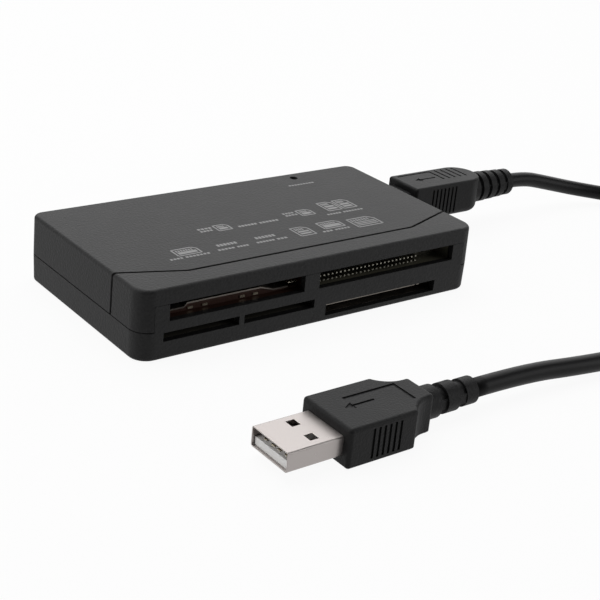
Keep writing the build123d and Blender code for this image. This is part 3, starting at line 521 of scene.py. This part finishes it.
@dataclass
class PrintedMarks(SubAssembly):
    """Plain signs for the kinds of card, printed on the top cover in two rows.

    Sizes are in millimetres on the cover's top. Everything is a stroke: a flat bar of ink between
    two points, with a width of its own.
    """

    top: float = 17.3
    thickness: float = 0.012
    line: float = 0.42
    inset_lines: float = 1.5
    first_contact_lines: float = 2.0
    cut_share: float = 0.28
    contact_share: float = 0.24
    dash_pitch: float = 0.95
    dash_share: float = 0.74
    words: tuple[Word, ...] = (
        Word(-18.4, 0.3, 4.2, 0.85),
        Word(-18.4, -1.1, 3.7, 0.85),
        Word(-7.7, -1.8, 5.6, 0.95),
        Word(-1.4, -1.8, 5.9, 0.95),
        Word(7.6, 0.9, 3.6, 0.85),
        Word(7.6, -0.5, 3.9, 0.85),
        Word(18.4, -4.0, 4.6, 0.8),
        Word(23.6, -4.0, 6.6, 0.8),
        Word(-34.2, -13.1, 3.6, 0.8),
        Word(-30.0, -13.1, 6.8, 0.8),
        Word(-19.6, -10.2, 5.8, 1.25),
        Word(-20.8, -12.7, 4.8, 0.85),
        Word(-15.4, -12.7, 3.4, 0.85),
        Word(-8.4, -10.0, 6.0, 1.25),
        Word(-9.6, -12.5, 5.4, 0.85),
        Word(-3.6, -12.5, 3.2, 0.85),
        Word(9.9, -13.3, 3.2, 0.8),
        Word(13.7, -13.3, 4.8, 0.8),
        Word(22.0, 17.9, 8.6, 0.7),
    )
    signs: tuple[CardSign, ...] = (
        CardSign(-13.6, -2.3, 3.8, 3.4, 4),
        CardSign(12.0, -2.1, 4.0, 3.6, 4),
        CardSign(20.6, -2.0, 4.2, 5.8, 4, 2),
        CardSign(25.6, -2.0, 4.2, 5.8, 4, 2),
        CardSign(-31.2, -11.9, 6.4, 3.6, 7),
        CardSign(3.2, -13.4, 4.6, 5.2, 4, 2),
        CardSign(11.6, -11.9, 6.4, 4.0, 7),
        CardSign(20.6, -14.4, 7.8, 5.4, 7, 3),
    )

    def sign_strokes(self, sign: CardSign) -> list[Stroke]:
        """Return a card sign's strokes: five sides of its outline, its contacts and its bars.

        Args:
            sign: The card sign.

        Returns:
            For each stroke its two ends and its width.
        """
        x0, y0, x1, y1 = sign.x, sign.y, sign.x + sign.wide, sign.y + sign.deep
        cut = self.cut_share * min(sign.wide, sign.deep)
        inset = self.inset_lines * self.line
        corner = [(x0, y0), (x1, y0), (x1, y1 - cut), (x1 - cut, y1), (x0, y1)]
        sides = [(*p, *q, self.line) for p, q in zip(corner, corner[1:] + corner[:1])]
        first_x = x0 + self.first_contact_lines * self.line
        pad_x = np.linspace(first_x, x1 - cut - self.line, sign.contacts)
        pad_top = y1 - inset
        pad_foot = pad_top - self.contact_share * sign.deep
        pads = [(x, pad_top, x, pad_foot, self.line) for x in pad_x]
        room = pad_foot - y0 - 2 * self.line
        bar_y = y0 + inset + room * (np.arange(sign.bars) + 0.5) / sign.bars
        bar_h = room / sign.bars - (self.line if sign.bars > 1 else 0.0)
        bars = [(x0 + inset, y, x1 - inset, y, bar_h) for y in bar_y]
        return [*sides, *pads, *bars]

    def word_strokes(self, word: Word) -> list[Stroke]:
        """Return a word's strokes: equal dashes with narrow gaps between them.

        Args:
            word: The word.

        Returns:
            For each stroke its two ends and its width.
        """
        count = round(word.length / self.dash_pitch)
        pitch = word.length / count
        start = word.x + pitch * np.arange(count)
        return [(x, word.y, x + self.dash_share * pitch, word.y, word.height) for x in start]

    def build(self) -> None:
        """Lay all strokes as one piece of ink.

        A stroke from p to q with width w is a flat box: its corners are p and q, each moved by
        half of w across the stroke, a little below the cover's top and a little above it.
        """
        strokes = [stroke for word in self.words for stroke in self.word_strokes(word)]
        strokes += [stroke for sign in self.signs for stroke in self.sign_strokes(sign)]
        table = np.array(strokes)
        start, end, width = table[:, :2], table[:, 2:4], table[:, 4:]
        along = (end - start) / np.linalg.norm(end - start, axis=1, keepdims=True)
        across = np.stack([-along[:, 1], along[:, 0]], axis=1) * width / 2
        corners = np.stack([start - across, end - across, end + across, start + across], axis=1)
        flat = np.repeat(corners[:, None], 2, axis=1)
        height = np.array([self.top - self.thickness, self.top + self.thickness])
        lift = np.broadcast_to(height[None, :, None, None], (*flat.shape[:3], 1))
        points = np.concatenate([flat, lift], axis=3).reshape(-1, 3) * MM
        first = BOX_CORNERS * np.arange(len(table))[:, None, None]
        faces = (BOX_SIDES[None] + first).reshape(-1, 4)
        ink = add_piece("printed_marks", points, faces.tolist(), READER)
        INK.dress(ink)


@dataclass
class CardSockets(SubAssembly):
    """What shows in the five card slots."""

    finishes: dict[str, Finish] = field(
        default_factory=lambda: {
            "pin_card_connector": HEADER,
            "connector_pins": PIN,
            "wide_card_base": BROWN,
            "wide_card_plate": DULLED,
            "contact_fingers": CONTACT,
            "thin_card_socket_left": CONNECTOR,
            "thin_card_socket_middle": CONNECTOR,
            "thin_card_contacts": CONTACT,
            "flat_card_shell": DULLED,
            "flat_card_insulator": CONNECTOR,
            "flat_card_contacts": CONTACT,
        }
    )


@dataclass
class Board(SubAssembly):
    """The circuit board with its small parts and the cable socket."""

    finishes: dict[str, Finish] = field(
        default_factory=lambda: {
            "main_board": LAMINATE,
            "controller_chip": CHIP,
            "crystal_can": TINNED,
            "capacitors": BROWN,
            "resistors": CHIP,
            "status_led": PALE,
            "cable_socket_shell": TINNED,
            "cable_socket_tongue": CONNECTOR,
        }
    )


@dataclass
class CablePlug(SubAssembly):
    """The small plug in the reader's side, with its strain relief."""

    body: str = CABLE
    finishes: dict[str, Finish] = field(
        default_factory=lambda: {
            "cable_plug_grip": VINYL,
            "cable_plug_shell": TINNED,
            "cable_plug_insert": CONNECTOR,
        }
    )
    rolled: dict[str, float] = field(default_factory=lambda: {"cable_plug_grip": 0.22})


@dataclass
class FlatPlug(SubAssembly):
    """The flat plug for the computer, with its strain relief."""

    body: str = CABLE
    finishes: dict[str, Finish] = field(
        default_factory=lambda: {
            "usb_plug_grip": VINYL,
            "usb_plug_shell": PLUG_STEEL,
            "usb_plug_blade": PALE,
            "usb_plug_contacts": CONTACT,
        }
    )
    rolled: dict[str, float] = field(
        default_factory=lambda: {"usb_plug_grip": 0.22, "usb_plug_shell": 0.07, "usb_plug_blade": 0.12}
    )


@dataclass
class Cord(SubAssembly):
    """The cord: a free stretch from each plug, and the put-away turns between them.

    The two routes are the CAD model's. The turns lie in three lanes: one on top, then the inner
    and at last the outer lane on the floor.
    """

    body: str = CABLE
    finishes: dict[str, Finish] = field(
        default_factory=lambda: {
            "cord_reader_end": JACKET,
            "cord_coil": JACKET,
            "cord_plug_end": JACKET,
            "cord_tie": TIE,
        }
    )
    diameter: float = 4.4 * MM
    length: float = 595 * MM
    sides: int = 24
    spline_order: int = 3
    spline_steps: int = 8
    reader_end: tuple[Point, ...] = (
        (98.9, 11.45, 10.55),
        (106.9, 11.45, 10.55),
        (116.5, 10.9, 8.1),
        (127.5, 9.2, 5.3),
        (138, 4.7, 3.5),
        (146.3, -3, 3),
        (151.8, -13.5, 3.6),
        (154.5, -26, 4.9),
        (155, -38.5, 6.3),
    )
    plug_end: tuple[Point, ...] = (
        (125, -77.6, 2.6),
        (103, -78.9, 2.4),
        (80, -79.2, 2.3),
        (58, -78.6, 2.3),
        (38, -77.2, 3.2),
        (20, -75.4, 4.5),
        (3.7, -75.4, 4.5),
    )
    coil_centre: tuple[float, float] = (128.0, -50.0)
    coil_radius: float = 26.9
    first_turn: float = 0.0
    last_turn: float = 2.2
    points_per_turn: int = 16
    lane_turns: tuple[float, ...] = (0.0, 0.3, 0.42, 0.55, 0.66, 0.8, 1.35, 1.5, 2.2)
    lane_offsets: tuple[float, ...] = (0.0, 0.0, 0.0, 0.0, -2.3, -2.3, -2.3, 2.3, 2.3)
    lane_heights: tuple[float, ...] = (6.6, 6.5, 6.9, 6.7, 6.0, 2.4, 2.4, 2.4, 2.4)
    strap_lanes: int = 3
    strap_angle: float = -45.0
    strap_width: float = 5.0
    strap_thickness: float = 0.6
    strap_floor: float = 0.05
    strap_points: int = 72

    def coil_points(self) -> np.ndarray:
        """Work out the put-away turns.

        A point at turn t stands at the angle of -t turns, on the coil's radius plus the lane's
        offset at t, at the lane's height at t.

        Returns:
            Array of points in millimetres.
        """
        count = round((self.last_turn - self.first_turn) * self.points_per_turn) + 1
        turn = np.linspace(self.first_turn, self.last_turn, count)
        radius = self.coil_radius + np.interp(turn, self.lane_turns, self.lane_offsets)
        height = np.interp(turn, self.lane_turns, self.lane_heights)
        angle = -2 * pi * turn
        across = self.coil_centre[0] + radius * np.cos(angle)
        along = self.coil_centre[1] + radius * np.sin(angle)
        return np.stack([across, along, height], axis=1)

    def route(self) -> np.ndarray:
        """Lay the cord's centre line.

        It is one smooth spline whose control points are the points of the routes and of the turns.

        Returns:
            Array of points along it, in metres.
        """
        points = np.concatenate([self.reader_end, self.coil_points(), self.plug_end]) * MM
        curve = bpy.data.curves.new("cord_route", "CURVE")
        curve.dimensions = "3D"
        curve.resolution_u = self.spline_steps
        spline = curve.splines.new("NURBS")
        spline.points.add(len(points) - 1)
        weighted = np.concatenate([points, np.ones((len(points), 1))], axis=1)
        spline.points.foreach_set("co", weighted.ravel())
        spline.order_u = self.spline_order
        spline.use_endpoint_u = True
        holder = bpy.data.objects.new("cord_route", curve)
        line = bpy.data.meshes.new_from_object(holder)
        places = np.empty(3 * len(line.vertices))
        line.vertices.foreach_get("co", places)
        bpy.data.objects.remove(holder)
        bpy.data.curves.remove(curve)
        bpy.data.meshes.remove(line)
        return places.reshape(-1, 3)

    def strap(self) -> bpy.types.Object:
        """Make the flat strip that ties the turns together.

        In the plane across the turns its outline is the line of a string drawn tight around the
        lanes. For each direction, a point is the lane's centre that lies farthest that way, plus
        the distance from it along that direction. The strip has an inner and an outer outline,
        and the outer one is pressed flat on the floor.

        Returns:
            The strip, which stands for the CAD model's tie.
        """
        turn = np.arange(self.strap_lanes) - self.strap_angle / 360
        inside = cos(pi / self.points_per_turn)
        radius = inside * (self.coil_radius + np.interp(turn, self.lane_turns, self.lane_offsets))
        centre = np.stack([radius, np.interp(turn, self.lane_turns, self.lane_heights)], axis=1)
        angle = np.linspace(0, 2 * pi, self.strap_points, endpoint=False)
        way = np.stack([np.cos(angle), np.sin(angle)], axis=1)
        farthest = centre[np.argmax(way @ centre.T, axis=1)]
        inner = self.diameter / 2 / MM
        outer = inner + self.strap_thickness
        reach = np.array([inner, outer, outer, inner])[:, None, None]
        outline = farthest + reach * way
        outline[..., 1] = np.maximum(outline[..., 1], self.strap_floor)
        aside = np.array([-1, -1, 1, 1])[:, None] * self.strap_width / 2
        lean = radians(self.strap_angle)
        points = np.stack(
            [
                self.coil_centre[0] + outline[..., 0] * cos(lean) - aside * sin(lean),
                self.coil_centre[1] + outline[..., 0] * sin(lean) + aside * cos(lean),
                outline[..., 1],
            ],
            axis=-1,
        )
        faces = loop_quads(4, self.strap_points, ring=True).tolist()
        piece = add_piece("cord_strap", points.reshape(-1, 3) * MM, faces, CABLE)
        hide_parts("cord_tie")
        TIE.dress(piece)
        return piece

    def tube(self, line: np.ndarray) -> bpy.types.Object:
        """Carry a circle along the route, with a flat cap at each end.

        A point is the route's point plus the radius times the cosine of its angle to the side and
        the sine upwards. The side is level and across the route, and up is across both.

        Args:
            line: Points along the route, in metres.

        Returns:
            The tube.
        """
        run = np.gradient(line, axis=0)
        run /= np.linalg.norm(run, axis=1, keepdims=True)
        side = np.cross((0.0, 0.0, 1.0), run)
        side /= np.linalg.norm(side, axis=1, keepdims=True)
        up = np.cross(run, side)
        angle = np.linspace(0, 2 * pi, self.sides, endpoint=False)[None, :, None]
        swing = np.cos(angle) * side[:, None] + np.sin(angle) * up[:, None]
        points = (line[:, None] + self.diameter / 2 * swing).reshape(-1, 3)
        faces = loop_quads(len(line), self.sides).tolist()
        first = np.arange(self.sides)
        last = first + len(points) - self.sides
        caps = [first[::-1].tolist(), last.tolist()]
        piece = add_piece("cord", points, [*faces, *caps], CABLE)
        smooth(piece.data)
        JACKET.dress(piece)
        return piece

    def build(self) -> None:
        """Make the cord and its tie, and hide the CAD model's cord."""
        line = self.route()
        piece = self.tube(line)
        strap = self.strap()
        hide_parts("cord_reader_end", "cord_coil", "cord_plug_end")


@dataclass(frozen=True)
class Lamp:
    """A square soft lamp that faces the origin: its name, place, side and power in watts."""

    name: str
    place: Point
    side: float
    power: float

    def hang(self) -> None:
        """Put this lamp into the scene."""
        light = bpy.data.lights.new(self.name, "AREA")
        light.shape = "SQUARE"
        light.size = self.side
        light.energy = self.power
        lamp = bpy.data.objects.new(self.name, light)
        lamp.location = self.place
        lamp.rotation_euler = (-Vector(self.place)).to_track_quat("-Z", "Y").to_euler()
        bpy.context.scene.collection.objects.link(lamp)


@dataclass
class Studio:
    """Camera, floor and soft light."""

    azimuth: float = -38.740
    elevation: float = 24.037
    roll: float = 5.556
    distance: float = 333.39 * MM
    across: float = -11.566 * MM
    upward: float = 4.420 * MM
    lens: float = 78.0
    nearest: float = 10 * MM
    floor_side: float = 40.0
    floor_drop: float = 0.02 * MM
    floor_roughness: float = 0.9
    floor_colour: Colour = (0.35, 0.35, 0.35)
    floor_glow: float = 0.88
    floor_white: float = 1.06
    sky_strength: float = 0.10
    lamps: tuple[Lamp, ...] = (
        Lamp("overhead", (-0.05, 0.20, 0.80), 0.7, 5.5),
        Lamp("back", (0.74, 0.92, 0.53), 1.95, 20.0),
        Lamp("left fill", (-0.75, 0.40, 0.32), 0.6, 3.4),
        Lamp("right fill", (0.75, -0.65, 0.32), 0.6, 3.0),
    )

    def camera(self) -> None:
        """Stand the camera where the photograph was taken.

        It looks back along the direction of the azimuth and elevation, turned by the roll about
        that direction and moved across and up in its own plane.
        """
        turn, lift, tilt = (radians(angle) for angle in (self.azimuth, self.elevation, self.roll))
        back = Vector((sin(turn) * cos(lift), -cos(turn) * cos(lift), sin(lift)))
        level = Vector((cos(turn), sin(turn), 0.0))
        upright = back.cross(level)
        right = cos(tilt) * level + sin(tilt) * upright
        up = cos(tilt) * upright - sin(tilt) * level
        place = back * self.distance - right * self.across - up * self.upward
        made = bpy.data.cameras.new("camera")
        made.lens = self.lens
        made.clip_start = self.nearest
        camera = bpy.data.objects.new("camera", made)
        turned = Matrix((right, up, back)).transposed().to_4x4()
        camera.matrix_world = Matrix.Translation(place) @ turned
        bpy.context.scene.collection.objects.link(camera)
        bpy.context.scene.camera = camera

    def floor(self) -> None:
        """Lay a pale floor, plain white where it is seen and with the object's soft shadow."""
        half = self.floor_side / 2
        corner = np.array([[-1, -1], [1, -1], [1, 1], [-1, 1]]) * half
        points = np.concatenate([corner, np.full((4, 1), -self.floor_drop)], axis=1)
        mesh = bpy.data.meshes.new("floor")
        mesh.from_pydata(points.tolist(), [], [(0, 1, 2, 3)])
        floor = bpy.data.objects.new("floor", mesh)
        bpy.context.scene.collection.objects.link(floor)
        material = bpy.data.materials.new("floor paper")
        material.use_nodes = True
        build = Tree(material.node_tree)
        shader = material.node_tree.nodes["Principled BSDF"]
        shader.inputs["Base Color"].default_value = (*self.floor_colour, 1.0)
        shader.inputs["Roughness"].default_value = self.floor_roughness
        shader.inputs["Specular IOR Level"].default_value = 0.0
        path = build.node("ShaderNodeLightPath").outputs
        seen = build.math("MAXIMUM", path["Is Camera Ray"], path["Is Glossy Ray"])
        seen = build.math("MAXIMUM", seen, path["Is Transmission Ray"])
        share = build.math("MULTIPLY", seen, self.floor_glow)
        white = build.node("ShaderNodeEmission", {"Color": (1, 1, 1, 1), "Strength": self.floor_white})
        both = build.node(
            "ShaderNodeMixShader", {0: share, 1: shader.outputs[0], 2: white.outputs[0]}
        )
        out = material.node_tree.nodes["Material Output"]
        material.node_tree.links.new(both.outputs[0], out.inputs["Surface"])
        mesh.materials.append(material)

    def sky(self) -> None:
        """Light everything a little from all around."""
        world = bpy.context.scene.world or bpy.data.worlds.new("sky")
        bpy.context.scene.world = world
        world.use_nodes = True
        background = world.node_tree.nodes["Background"]
        background.inputs["Color"].default_value = (1.0, 1.0, 1.0, 1.0)
        background.inputs["Strength"].default_value = self.sky_strength

    def build(self) -> None:
        """Set the view, then the camera, the floor, the sky and the lamps."""
        bpy.context.scene.view_settings.view_transform = "Standard"
        self.camera()
        self.floor()
        self.sky()
        for lamp in self.lamps:
            lamp.hang()


def main() -> None:
    """Build and dress every sub-assembly, then the studio."""
    logging.basicConfig(level=logging.INFO, format="%(name)s: %(message)s")
    for part in (Housing(), PrintedMarks(), CardSockets(), Board(), CablePlug(), FlatPlug(), Cord()):
        part.build()
        part.dress()
    Studio().build()


if __name__ == "__main__":
    main()
